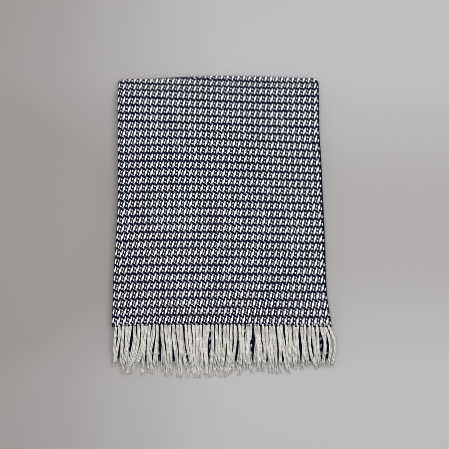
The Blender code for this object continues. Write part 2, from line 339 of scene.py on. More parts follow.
# The bare middle surface of the folded cloth, with the pattern's place as its UV map.
def buildFoldedSheet():
    columns = fold["columns"]
    repeat = weave["picksPerRepeat"]
    shares = [(1 - cos(pi * k / columns)) / 2 for k in range(columns + 1)]
    sections = [clothSection(u) for u in shares]
    rows = len(sections[0])
    places = [point[2] for point in sections[0]]
    backTurn = [k for k, place in enumerate(places) if place == 0.5]
    frontTurn = [k for k, place in enumerate(places) if place == 1.5]
    picks = []
    for u, section in zip(shares, sections):
        line = [-rowDrift(u, fold["upperHemY"]) * repeat / lookup(weave["rowPitch"], section[0][0])]
        for (y0, z0, place), (y1, z1, _) in zip(section, section[1:]):
            pitch = lookup(weave["rowPitch"], (y0 + y1) / 2) if place < 0.5 else weave["hiddenPitch"]
            line.append(line[-1] + ((y1 - y0) ** 2 + (z1 - z0) ** 2) ** 0.5 * repeat / pitch)
        picks.append(line)
    middle = picks[columns // 2]
    total = int(middle[-1])
    vertices, coordinates = [], []
    for row in range(rows):
        for column, u in enumerate(shares):
            y, z, place = sections[column][row]
            vertices.append((clothX(u, y, place) * mm, y * mm, z * mm))
            pitch = lookup(weave["rowPitch"], y)
            if place <= 0.5:
                at = picks[column][row] + rowDrift(u, y) * repeat / pitch
            else:
                turned = picks[column][backTurn[-1]] + rowDrift(u, fold["backY"]) * repeat / pitch
                at = middle[row] + (turned - middle[backTurn[-1]]) * max(0.0, 1.5 - place)
            coordinates.append((u, at / total))
    faces = []
    for row in range(rows - 1):
        for column in range(columns):
            a = row * (columns + 1) + column
            faces.append((a, a + 1, a + columns + 2, a + columns + 1))
    mesh = bpy.data.meshes.new("foldedCloth")
    mesh.from_pydata(vertices, [], faces)
    layer = mesh.uv_layers.new(name="weavePlace")
    for loop in mesh.loops:
        layer.data[loop.index].uv = coordinates[loop.vertex_index]
    mesh.shade_smooth()
    marks = middle[backTurn[-1]], middle[frontTurn[0]], middle[frontTurn[-1]]
    return addObject("foldedCloth", mesh), total, marks


# Yarn trees: one for the weave on the faces and one for the yarns round the plies' edges

def newTree(name, sockets):
    tree = bpy.data.node_groups.new(name, "GeometryNodeTree")
    for label, kind in sockets:
        tree.interface.new_socket(label, in_out="INPUT", socket_type="NodeSocket" + kind)
    tree.interface.new_socket("Geometry", in_out="OUTPUT", socket_type="NodeSocketGeometry")
    return tree, addNode(tree, "NodeGroupInput").outputs


# One point for each crossing of each yarn: the points, the yarn of each, and its step along the yarn.
def yarnGrid(tree, yarns, crossings):
    count = calc(tree, "MULTIPLY", yarns, crossings)
    points = addNode(tree, "GeometryNodePoints", {0: count})
    index = addNode(tree, "GeometryNodeInputIndex")
    share = calc(tree, "DIVIDE", index, crossings)
    group = calc(tree, "FLOOR", share)
    step = calc(tree, "MODULO", index, crossings)
    return points, group, step


# The same place, but never lower than a height, so that nothing goes into the floor.
def keepAbove(tree, place, height):
    parts = addNode(tree, "ShaderNodeSeparateXYZ", {0: place})
    above = calc(tree, "MAXIMUM", parts.outputs[2], height)
    return addNode(tree, "ShaderNodeCombineXYZ", {0: parts, 1: parts.outputs[1], 2: above})


# Points to curves to yarn, ending in real geometry with its material.
def yarnSurface(tree, given, points, group, radius, position, normal):
    curves = addNode(tree, "GeometryNodePointsToCurves", {0: points, 1: group})
    clear = keepAbove(tree, position, weave["lowest"] * mm)
    moved = addNode(tree, "GeometryNodeSetPosition", {0: curves, 2: clear})
    turned = addNode(tree, "GeometryNodeSetCurveNormal", {0: moved, -1: normal}, mode="FREE")
    sized = addNode(tree, "GeometryNodeSetCurveRadius", {0: turned, 2: radius})
    # the material's twist follows these two attributes
    spline = addNode(tree, "GeometryNodeSplineParameter")
    marked = addNode(tree, "GeometryNodeStoreNamedAttribute",
                     {0: sized, 2: "along", 3: spline.outputs["Length"]}, domain="POINT")
    ring = addNode(tree, "GeometryNodeCurvePrimitiveCircle", {0: given["Sides"], 4: 0.5})
    shape = addNode(tree, "ShaderNodeCombineXYZ", {0: given["Height"], 1: given["Width"], 2: 1.0})
    flat = addNode(tree, "GeometryNodeTransform", {0: ring, 3: shape})
    outline = addNode(tree, "GeometryNodeStoreNamedAttribute",
                      {0: flat, 2: "around", 3: spline.outputs["Factor"]}, domain="POINT")
    scale = addNode(tree, "GeometryNodeInputRadius")
    yarn = addNode(tree, "GeometryNodeCurveToMesh",
                   {0: marked, 1: outline, "Scale": scale, "Fill Caps": True})
    soft = addNode(tree, "GeometryNodeSetShadeSmooth", {0: yarn})
    real = addNode(tree, "GeometryNodeRealizeInstances", {0: soft})
    painted = addNode(tree, "GeometryNodeSetMaterial", {0: real, 2: given["Material"]})
    addNode(tree, "NodeGroupOutput", {0: painted})


# Yarns laid on the cloth by its UV map, over and under each other by the chart.
def buildWeaveTree(warp):
    tree, given = newTree("warpYarns" if warp else "weftYarns", (
        ("Cloth", "Object"), ("Yarns", "Int"), ("Crossings", "Int"), ("First Yarn", "Int"),
        ("First Crossing", "Int"), ("Ends", "Int"), ("Picks", "Int"), ("Shift", "Float"),
        ("Width", "Float"), ("Height", "Float"), ("Lift", "Float"), ("Depth", "Float"),
        ("Cloth Width", "Float"), ("Sides", "Int"), ("Jitter", "Float"), ("Seed", "Int"),
        ("Material", "Material")))
    perRepeat = float(weave["endsPerRepeat"])
    rowsPerRepeat = float(weave["picksPerRepeat"])
    points, group, step = yarnGrid(tree, given["Yarns"], given["Crossings"])
    yarn = calc(tree, "ADD", group, given["First Yarn"])
    crossing = calc(tree, "ADD", step, given["First Crossing"])
    end, pick = (yarn, crossing) if warp else (crossing, yarn)
    # its square of the chart
    moved = calc(tree, "ADD", end, perRepeat - weave["columnShift"])
    column = calc(tree, "MODULO", moved, perRepeat)
    late = calc(tree, "ADD", pick, rowsPerRepeat - weave["rowShift"])
    row = calc(tree, "MODULO", late, rowsPerRepeat)
    cell = calc(tree, "MULTIPLY_ADD", row, perRepeat, column)
    level = chartSwitch(tree, cell, chartHeights())
    lean = chartSwitch(tree, cell, warpLeans() if warp else weftWaves())
    bend = calc(tree, "MULTIPLY_ADD", lean, given["Shift"], 0.5)
    # its place on the cloth
    acrossAt = calc(tree, "ADD", end, bend if warp else 0.5)
    alongAt = calc(tree, "ADD", pick, 0.5 if warp else bend)
    u = calc(tree, "DIVIDE", acrossAt, given["Ends"])
    v = calc(tree, "DIVIDE", alongAt, given["Picks"])
    inside = addNode(tree, "ShaderNodeClamp", {0: u, 1: weave["edgeShare"], 2: 1 - weave["edgeShare"]})
    place = addNode(tree, "ShaderNodeCombineXYZ", {0: inside, 1: v})
    spot, normal = sampleCloth(tree, given["Cloth"], place)
    # past a side edge the yarn goes on outward and down
    overhang = calc(tree, "SUBTRACT", u, inside)
    sideways = calc(tree, "MULTIPLY", overhang, given["Cloth Width"])
    drop = calc(tree, "ABSOLUTE", sideways)
    # up or down by the chart
    way = calc(tree, "MULTIPLY", level, 1.0 if warp else -1.0)
    wave = calc(tree, "MULTIPLY_ADD", way, given["Depth"], given["Lift"])
    rise = calc(tree, "SUBTRACT", wave, drop)
    out = addNode(tree, "ShaderNodeVectorMath", {0: normal, "Scale": rise}, operation="SCALE")
    side = addNode(tree, "ShaderNodeCombineXYZ", {0: sideways})
    raised = calcVector(tree, "ADD", spot, out)
    placed = calcVector(tree, "ADD", raised, side)
    # no yarn is quite even
    least, most = weave["jitterRange"]
    stray = addNode(tree, "FunctionNodeRandomValue",
                    {0: least, 1: most, "Seed": given["Seed"]}, data_type="FLOAT_VECTOR")
    shake = addNode(tree, "ShaderNodeVectorMath", {0: stray, "Scale": given["Jitter"]}, operation="SCALE")
    position = calcVector(tree, "ADD", placed, shake)
    thinnest, thickest = weave["swell"]
    swell = addNode(tree, "FunctionNodeRandomValue",
                    {2: thinnest, 3: thickest, "ID": group, "Seed": given["Seed"]})
    radius = calc(tree, "MULTIPLY_ADD", way, weave["risen"], swell.outputs[1])
    yarnSurface(tree, given, points, group, radius, position, normal)
    return tree


# Position and normal of the folded cloth at a UV place.
def sampleCloth(tree, cloth, place):
    shape = addNode(tree, "GeometryNodeObjectInfo", {"Object": cloth})
    uvMap = addNode(tree, "GeometryNodeInputNamedAttribute", {"Name": "weavePlace"},
                    data_type="FLOAT_VECTOR")
    at = addNode(tree, "GeometryNodeInputPosition")
    facing = addNode(tree, "GeometryNodeInputNormal")
    found = []
    for value in (at, facing):
        found.append(addNode(tree, "GeometryNodeSampleUVSurface",
                             {0: shape.outputs["Geometry"], 1: value, 2: uvMap, 3: place},
                             data_type="FLOAT_VECTOR"))
    return found


# The value that belongs to a square of the chart.
def chartSwitch(tree, cell, values):
    switch = addNode(tree, "GeometryNodeIndexSwitch", data_type="FLOAT")
    while len(switch.index_switch_items) < len(values):
        switch.index_switch_items.new()
    feed(tree, switch, {0: cell, **dict(enumerate(values, 1))})
    return switch


def chartHeights():
    return [weave["levels"][mark] for row in weave["chart"] for mark in row]


def warpLeans():
    return [lean for row in weave["leans"] for lean in row]


# The all-navy picks between the rows dip to the right of each cream float.
def weftWaves():
    last = weave["picksPerRepeat"] - 1
    shares = [1 if row in (0, last) else weave["innerWave"] for row in range(last + 1)]
    return [wave * share for share in shares for wave in weave["waves"]]


# The yarns round the plies' side edges, in mm and degrees

edge = {
    "steps": 7,
    "bulge": 1.35,  # up and down from the middle of the ply
    "reach": 1.5,  # outward from its edge
    "width": 3.6,
    "height": 1.2,
    "sides": 4,
    "wrap": 105,  # from straight outward to where the yarn ends, above and below
    "picksEach": 2,
}


# Weft yarns that wrap round the plies' side edges, from one face to the other.
def buildEdgeTree():
    tree, given = newTree("edgeYarns", (
        ("Cloth", "Object"), ("Loops", "Int"), ("Steps", "Int"), ("Edge", "Float"), ("Outward", "Float"),
        ("Bulge", "Float"), ("Reach", "Float"), ("Width", "Float"), ("Height", "Float"), ("Sides", "Int"),
        ("Material", "Material")))
    points, group, step = yarnGrid(tree, given["Loops"], given["Steps"])
    last = calc(tree, "SUBTRACT", given["Steps"], 1.0)
    part = calc(tree, "DIVIDE", step, last)
    wrap = radians(edge["wrap"])
    angle = addNode(tree, "ShaderNodeMapRange", {0: part, 3: wrap, 4: -wrap})
    middle = calc(tree, "ADD", group, 0.5)
    v = calc(tree, "DIVIDE", middle, given["Loops"])
    place = addNode(tree, "ShaderNodeCombineXYZ", {0: given["Edge"], 1: v})
    spot, normal = sampleCloth(tree, given["Cloth"], place)
    high = calc(tree, "SINE", angle)
    wide = calc(tree, "COSINE", angle)
    rise = calc(tree, "MULTIPLY", high, given["Bulge"])
    reach = calc(tree, "MULTIPLY", wide, given["Reach"])
    sideways = calc(tree, "MULTIPLY", reach, given["Outward"])
    out = addNode(tree, "ShaderNodeVectorMath", {0: normal, "Scale": rise}, operation="SCALE")
    side = addNode(tree, "ShaderNodeCombineXYZ", {0: sideways})
    raised = calcVector(tree, "ADD", spot, out)
    position = calcVector(tree, "ADD", raised, side)
    turned = calcVector(tree, "SUBTRACT", position, spot)
    facing = calcVector(tree, "NORMALIZE", turned)
    yarnSurface(tree, given, points, group, 1.0, position, facing)
    return tree


# Materials of the cloth and the fringe, all of them cotton, with sizes in mm. Grain is the size of
# the specks, darkest the shade of the darkest one, and the flank setting how bright a yarn's sides
# stay under the painted shade that darkens faces which don't look up.

finishes = {
    # bleached warp yarn gives the eye a bright, soft white with no shine
    "cream": {"name": "spun cream cotton yarn, plied", "colour": "FDFBFD", "shade": "F0EEF0", "twist": 5.0,
              "grain": 0.7, "darkest": 0.82, "flankShade": 1.0, "roughness": 0.85, "gloss": 0.2},
    # dyed weft yarn gives it a deep blue that is nearly black and swallows the light
    "navy": {"name": "spun navy cotton yarn, plied", "colour": "030718", "shade": "070C2A", "twist": 5.0,
             "grain": 0.7, "darkest": 0.82, "flankShade": 1.0, "roughness": 0.9, "gloss": 0.04},
    # loose fringe yarn is greyer and specked; painted shade darkens its flanks
    # and so draws dark lines between the strands;
    # the grain is drawn coarser than real fibre, or the render wouldn't show it
    "fringe": {"name": "spun cream cotton fringe yarn", "colour": "E9E8E3", "shade": "CBC8C1", "twist": 7.0,
               "grain": 2.0, "darkest": 0.62, "flankShade": 0.3, "roughness": 0.92, "gloss": 0.2},
    # the cloth under the yarns is navy, the weft's own colour, and in the gaps between yarns it also
    # stands in as painted shade; its flat floats are a dull cream
    "ground": {"name": "woven cotton ground, navy and cream", "colour": "07091A", "shade": "B8B4AA",
               "relief": 0.6, "roughness": 0.95, "gloss": 0.05},
    "drift": 18.2,  # size of the soft clouds of shade
    "yarnRelief": 0.3,
    "yarnPlies": 2.0,
}


# Matt spun yarn: its shade drifts softly, its plies twist in the bump, and painted shade darkens
# its flanks as far as the finish asks.
def yarnMaterial(finish):
    material, tree, surface = newMaterial(finish["name"])
    spot = addNode(tree, "ShaderNodeTexCoord")
    drift = addNode(tree, "ShaderNodeTexNoise",
                    {"Vector": spot.outputs["Object"], "Scale": 1 / (finishes["drift"] * mm), "Detail": 3.0})
    fibre = addNode(tree, "ShaderNodeTexNoise",
                    {"Vector": spot.outputs["Object"], "Scale": 1 / (finish["grain"] * mm), "Detail": 2.0})
    blend = addNode(tree, "ShaderNodeMix",
                    {0: drift, 6: linear(finish["colour"]), 7: linear(finish["shade"])}, data_type="RGBA")
    speck = addNode(tree, "ShaderNodeMapRange", {0: fibre, 1: 0.3, 2: 0.7, 3: finish["darkest"], 4: 1.1})
    # painted shade: faces that look sideways or down are darkened, standing in for the shade between yarns
    facing = addNode(tree, "ShaderNodeAttribute", attribute_name="facing")
    paintedFlankShade = addNode(tree, "ShaderNodeMapRange",
                     {0: facing.outputs["Fac"], 1: 0.0, 2: 0.7, 3: finish["flankShade"], 4: 1.0})
    depth = calc(tree, "MULTIPLY", speck, paintedFlankShade)
    colourOut = addNode(tree, "ShaderNodeVectorMath",
                        {0: blend.outputs[2], "Scale": depth}, operation="SCALE")
    along = addNode(tree, "ShaderNodeAttribute", attribute_name="along")
    around = addNode(tree, "ShaderNodeAttribute", attribute_name="around")
    turnsDone = calc(tree, "DIVIDE", along.outputs["Fac"], finish["twist"] * mm)
    phase = calc(tree, "MULTIPLY_ADD", around.outputs["Fac"], finishes["yarnPlies"], turnsDone)
    circle = calc(tree, "MULTIPLY", phase, 2 * pi)
    ply = calc(tree, "SINE", circle)
    height = calc(tree, "MULTIPLY_ADD", fibre, 0.8, ply)
    bump = addNode(tree, "ShaderNodeBump",
                   {"Strength": 0.35, "Distance": finishes["yarnRelief"] * mm, "Height": height})
    feed(tree, surface, {"Base Color": colourOut, "Normal": bump, "Roughness": finish["roughness"],
                         "Specular IOR Level": finish["gloss"]})
    return material


# The cloth under the yarns: plain navy where they cover it, which also serves as painted shade in
# the gaps between them, and elsewhere the chart drawn flat.
def groundMaterial(finish):
    material, tree, surface = newMaterial(finish["name"])
    uvMap = addNode(tree, "ShaderNodeUVMap", uv_map="weavePlace")
    parts = addNode(tree, "ShaderNodeSeparateXYZ", {0: uvMap})
    ends = calc(tree, "MULTIPLY", parts, float(endCount))
    picks = calc(tree, "MULTIPLY", parts.outputs[1], float(pickCount))
    moved = calc(tree, "ADD", ends, float(-weave["columnShift"]))
    late = calc(tree, "ADD", picks, float(-weave["rowShift"]))
    column = calc(tree, "FLOORED_MODULO", moved, float(weave["endsPerRepeat"]))
    row = calc(tree, "FLOORED_MODULO", late, float(weave["picksPerRepeat"]))
    cream = None
    for end in range(weave["endsPerRepeat"]):
        up = [k for k in range(weave["picksPerRepeat"]) if weave["chart"][k][end] in "Wo"]
        low, high = up[0], up[-1] + 1
        inRow = calc(tree, "COMPARE", row, (low + high) / 2, (high - low) / 2)
        inEnd = calc(tree, "COMPARE", column, end + 0.5, weave["groundFloat"])
        both = calc(tree, "MULTIPLY", inRow, inEnd)
        if cream is None:
            cream = both
        else:
            cream = calc(tree, "MAXIMUM", cream, both)
    beyond = calc(tree, "GREATER_THAN", picks, float(topPicks - 1))
    shown = calc(tree, "MULTIPLY", cream, beyond)
    blend = addNode(tree, "ShaderNodeMix",
                    {0: shown, 6: linear(finish["colour"]), 7: linear(finish["shade"])}, data_type="RGBA")
    bump = addNode(tree, "ShaderNodeBump",
                   {"Strength": 0.5, "Distance": finish["relief"] * mm, "Height": shown})
    feed(tree, surface, {"Base Color": blend.outputs[2], "Normal": bump, "Roughness": finish["roughness"],
                         "Specular IOR Level": finish["gloss"]})
    return material


# The folded cloth and its yarns

print("folding the cloth")
sheet, pickCount, turnMarks = buildFoldedSheet()
topPicks = int(turnMarks[0]) + weave["topPast"]
creamYarn = yarnMaterial(finishes["cream"])
navyYarn = yarnMaterial(finishes["navy"])
ground = groundMaterial(finishes["ground"])

print("weaving", endCount, "ends by", pickCount, "picks")
warpTree = buildWeaveTree(True)
weftTree = buildWeaveTree(False)
yarnPieces = []


# Warp and weft over one stretch of the cloth.
def layWeave(name, firstPick, picks, depth, sunk):
    common = {"Cloth": sheet, "Ends": endCount, "Picks": pickCount, "Lift": weave["lift"] * mm,
              "Depth": depth * mm, "Cloth Width": weave["clothWidth"] * mm, "Sides": weave["sides"],
              "Jitter": weave["jitter"] * mm, "Seed": firstPick + 5}
    warps = {"Yarns": endCount, "Crossings": picks + 1, "First Yarn": 0, "First Crossing": firstPick,
             "Shift": weave["warpLean"], "Width": weave["warpWidth"] * mm,
             "Height": weave["warpHeight"] * mm, "Lift": (weave["lift"] - sunk) * mm, "Material": creamYarn}
    wefts = {"Yarns": picks, "Crossings": endCount + 2, "First Yarn": firstPick, "First Crossing": -1,
             "Shift": weave["weftWave"], "Width": weave["weftWidth"] * mm,
             "Height": weave["weftHeight"] * mm, "Material": navyYarn}
    for kind, tree, values in (("warp", warpTree, warps), ("weft", weftTree, wefts)):
        yarnPieces.append(growYarns(carrier(name + "_" + kind), tree, {**common, **values}))


# the top ply is laid in two pieces, cut between two rows of the pattern
halfPicks = weave["picksPerRepeat"] * (topPicks // (2 * weave["picksPerRepeat"]))
layWeave("weave_front", 0, halfPicks, weave["depth"], 0.0)
layWeave("weave_back", halfPicks, topPicks - halfPicks, weave["depth"], 0.0)
# the roll under the fringe is laid with sunk warps, so its navy face stands in for the shade there
rollFirst = int(turnMarks[1]) - weave["rollBefore"]
rollPicks = int(turnMarks[2]) + weave["rollPast"] - rollFirst
layWeave("weave_roll", rollFirst, rollPicks, weave["rollDepth"], weave["rollSunk"])

print("wrapping the side edges")
edgeTree = buildEdgeTree()
for name, share, outward in (
        ("edge_left", weave["edgeShare"], -1.0), ("edge_right", 1 - weave["edgeShare"], 1.0)):
    yarnPieces.append(growYarns(carrier(name), edgeTree, {
        "Cloth": sheet, "Loops": pickCount // edge["picksEach"], "Steps": edge["steps"], "Edge": share,
        "Outward": outward, "Bulge": edge["bulge"] * mm, "Reach": edge["reach"] * mm,
        "Width": edge["width"] * mm, "Height": edge["height"] * mm, "Sides": edge["sides"],
        "Material": navyYarn}))

thick = sheet.modifiers.new("thickness", "SOLIDIFY")
thick.thickness = fold["shownSheet"] * mm
thick.offset = 0
thick.use_even_offset = True
sheet.data.materials.append(ground)

# Fringe: yarns in bundles, two strands to a bundle, sizes in mm

fringe = {
    "bundles": 28,
    "strandHeight": 3.4,
    "clothTop": 1.0,  # how far the shown weave stands over the part's own face
    "gap": 0.3,
    "fallSlope": 0.85,  # fall in mm for each mm forward where nothing carries a strand
    "softening": 8,
    "settle": 20.0,
    "rootInside": 3.0,  # the yarns start so far behind the hem, among the picks
    "rootLevel": 0.4,  # over the middle of their ply
    "leftMargin": 2.5,
    "rightMargin": 1.5,
    "pairSpacing": 7.3,
    "underShorter": 8.0,  # the lower row's tips stay behind the upper row's
    "rowSink": 0.8,  # how far the upper row sinks into the lower one
    "stations": 16,  # the drape is worked out at so many places across, and at the left edge
    "stationEdge": 0.035,
    "surface": 150,  # length of ground that is worked out, from the lower hem to the front
    "steps": 30,
    "yarns": 4,
    "yarnWidth": 2.6,
    "ropeSide": 1.7,
    "ropeHigh": 1.0,
    "turns": 0.9,
    "twistDrift": 40.0,  # turns that the twist is ahead, for each metre to the right
    "looseFrom": 0.4,  # from this share of its length a strand opens up
    "looseEnd": 1.3,
    "taperFrom": 0.8,
    "tipWidth": 0.68,
    "sides": 6,
    "sweepCurve": 1.6,
    "crossing": 0.2,  # share of strands that lie over their neighbour
    "crossingLift": 2.4,
    "seed": 4,
    "seeds": {"fringe_top": 11, "fringe_under": 23},
    "fibres": 7,
    "fibreLength": 10.0,
    "fibreWidth": 0.8,
    "fibreTaper": (0.5, 0.22),
    "fibreSpan": (0.5, 1.25),  # shortest and longest fibre, in fibre lengths
    "fibreShape": ((0.0, 0.0, -0.35), (0.0, 0.0, 0.45), (0.28, 0.0, 0.9)),  # start, bend and end, likewise
    "fibreStray": ((-0.26, -0.26, -0.08), (0.26, 0.26, 0.16)),
    "floorGap": 0.1,
    # the ranges that the strands' chances are drawn from
    "chance": {"root": (-0.9, 0.9), "bundleSweep": (-1.5, 1.5), "tip": (-3.0, 3.0), "sweep": (-2.2, 2.2),
               "shift": (5, 9), "spread": (0.0, 2.3), "bulge": (-2.0, 2.0), "wobble": (0.8, 3.0),
               "bends": (3.5, 6.5), "lift": (-0.2, 0.8)},
    # where the upper row's tips end, by the root's place across
    "tips": [(-240, -282), (-212, -284), (-200, -294), (-180, -306), (-160, -308), (-148, -299),
             (-135, -303), (-90, -309), (-40, -308), (20, -307), (40, -302), (65, -299), (100, -304),
             (120, -297), (140, -300), (165, -294), (200, -291), (240, -288)],
    # how far a bundle's tip lies to the right of its root
    "sweeps": [(-214, 0), (-200, -7), (-183, -16), (-165, -23), (-150, -6), (-133, -3), (-115, 3),
               (-86, 11), (-60, 8), (-39, -1), (-10, -5), (25, -4), (60, 0), (85, 3), (110, 10), (135, 9),
               (160, 6), (183, 10), (205, 12), (225, 8)],
    # how far its middle bows to the right
    "bulge": [(-212, 1.5), (-194, -3), (-184, -3), (-178, 4), (-165, 4), (-155, 0), (195, 0), (214, 9.5)],
}


# The centre line of yarn over a surface given in 1 mm steps, down to the floor.
def laidOn(surface, clearance, floor):
    line = []
    level = 0.0
    reach = int(clearance)
    for k in range(len(surface)):
        level = max(floor, level - fringe["fallSlope"])
        for j in range(max(k - reach, 0), min(k + reach + 1, len(surface))):
            if surface[j] > 0:
                level = max(level, surface[j] + (clearance ** 2 - (j - k) ** 2) ** 0.5)
        line.append(level)
    around = fringe["softening"]
    eased = []
    for k, level in enumerate(line):
        near = line[max(k - around, 0):k + around + 1]
        eased.append(max(level, sum(near) / len(near)))
    return eased


# Heights of the lower and upper strands' centre lines, in 1 mm steps from the lower hem.
def fringeLines(u):
    start, radius = turnStart(fold["turns"][1], u)
    top = fold["sheet"] / 2 + fringe["clothTop"]
    outer = radius + top
    middle = (plyHeight(3, start, u) + plyHeight(8, start, u)) / 2
    surface = []
    for step in range(fringe["surface"]):
        y = fold["lowerHemY"] - step
        if y >= start:
            surface.append(plyHeight(3, y, u) + top)
        elif y > start - outer:
            surface.append(middle + (outer ** 2 - (start - y) ** 2) ** 0.5)
        else:
            surface.append(0.0)
    half = fringe["strandHeight"] / 2
    lower = laidOn(surface, half + fringe["gap"], half)
    edge = start - outer - half
    carried = [z if fold["lowerHemY"] - k > edge else 0.0 for k, z in enumerate(lower)]
    return lower, laidOn(carried, 2 * half - fringe["rowSink"], half)


stations = fringe["stations"]
stationEdge = fringe["stationEdge"]
fringeShapes = [fringeLines(mix(stationEdge, 1 - stationEdge, k / stations)) for k in range(stations + 1)]


# One strand from inside the hem to its tip, evenly spaced along its drape.
def strandPath(strand):
    across = (strand["rootX"] - fold["leftEdge"][1][1]) / (fold["rightEdge"][1][1] - fold["leftEdge"][1][1])
    line = fringeShapes[round(min(max(across, 0), 1) * stations)][strand["row"]]
    drape = []
    count = int(strand["rootY"] - strand["tipY"])
    for k in range(count + 1):
        y = mix(strand["rootY"], strand["tipY"], k / count)
        place = min(max(fold["lowerHemY"] - y, 0), len(line) - 1.001)
        rest = mix(line[int(place)], line[int(place) + 1], place - int(place))
        drape.append((y, mix(strand["rootLevel"], rest, smooth(k / fringe["settle"]))))
    travelled = [0.0]
    for (y0, z0), (y1, z1) in zip(drape, drape[1:]):
        travelled.append(travelled[-1] + ((y1 - y0) ** 2 + (z1 - z0) ** 2) ** 0.5)
    path = []
    j = 0
    for step in range(fringe["steps"] + 1):
        way = step / fringe["steps"]
        target = way * travelled[-1]
        while j < len(travelled) - 2 and travelled[j + 1] < target:
            j += 1
        t = (target - travelled[j]) / (travelled[j + 1] - travelled[j])
        y, z = mix(drape[j][0], drape[j + 1][0], t), mix(drape[j][1], drape[j + 1][1], t)
        x = strand["rootX"] + strand["sweep"] * way ** fringe["sweepCurve"]
        # a pair parts over its first two thirds, and bends more over its first half
        x += strand["spread"] * smooth(way * 1.5 - 0.1)
        x += strand["bulge"] * sin(pi * way)
        x += strand["wobble"] * sin(strand["phase"] + way * strand["bends"]) * smooth(way * 2)
        # up over the first third, and down again over the last half
        lift = strand["lift"] * smooth(way * 3) * (1 - smooth(way * 2 - 1))
        path.append((x * mm, y * mm, (z + lift) * mm))
    return path


# The strands of the upper row. Those of the lower row lie under them.
def layStrands():
    dice = random.Random(fringe["seed"])

    def draw(name):
        return dice.uniform(*fringe["chance"][name])

    left = fold["leftEdge"][1][1] + fringe["leftMargin"]
    right = fold["rightEdge"][1][1] - fringe["rightMargin"]
    pitch = (right - left) / fringe["bundles"]
    strands = []
    for bundle in range(fringe["bundles"]):
        middle = left + pitch * (bundle + 0.5) + draw("root")
        sweep = lookup(fringe["sweeps"], middle) + draw("bundleSweep")
        for side in (-1, 1):
            rootX = middle + side * fringe["pairSpacing"] / 2
            crossing = dice.random() < fringe["crossing"]
            strands.append({
                "rootX": rootX,
                "tipY": lookup(fringe["tips"], rootX) + draw("tip"),
                "sweep": sweep + draw("sweep"),
                "shift": -crossing * side * draw("shift"),
                "spread": side * draw("spread"),
                "bulge": lookup(fringe["bulge"], rootX) + draw("bulge"),
                "wobble": draw("wobble"),
                "bends": draw("bends"),
                "phase": dice.uniform(0, 2 * pi),
                # a strand rises over the neighbour that it crosses
                "lift": draw("lift") + fringe["crossingLift"] * crossing,
            })
    return strands


# One row of strands as a mesh of polylines.
def buildStrands(name, hemY, ply, row):
    left, right = fold["leftEdge"][1][1], fold["rightEdge"][1][1]
    vertices, edges = [], []
    strands = layStrands() if row else layStrands()[2:-2]  # the lower row has no outermost bundles
    for strand in strands:
        level = plyHeight(ply, hemY, (strand["rootX"] - left) / (right - left)) + fringe["rootLevel"]
        path = strandPath({**strand, "row": row, "rootY": hemY + fringe["rootInside"], "rootLevel": level,
                           "tipY": strand["tipY"] + (0 if row else fringe["underShorter"]),
                           "sweep": strand["sweep"] + strand["shift"] * row,
                           "lift": strand["lift"] * row})
        first = len(vertices)
        vertices += path
        edges += [(first + k, first + k + 1) for k in range(len(path) - 1)]
    mesh = bpy.data.meshes.new(name)
    mesh.from_pydata(vertices, edges, [])
    return addObject(name, mesh)


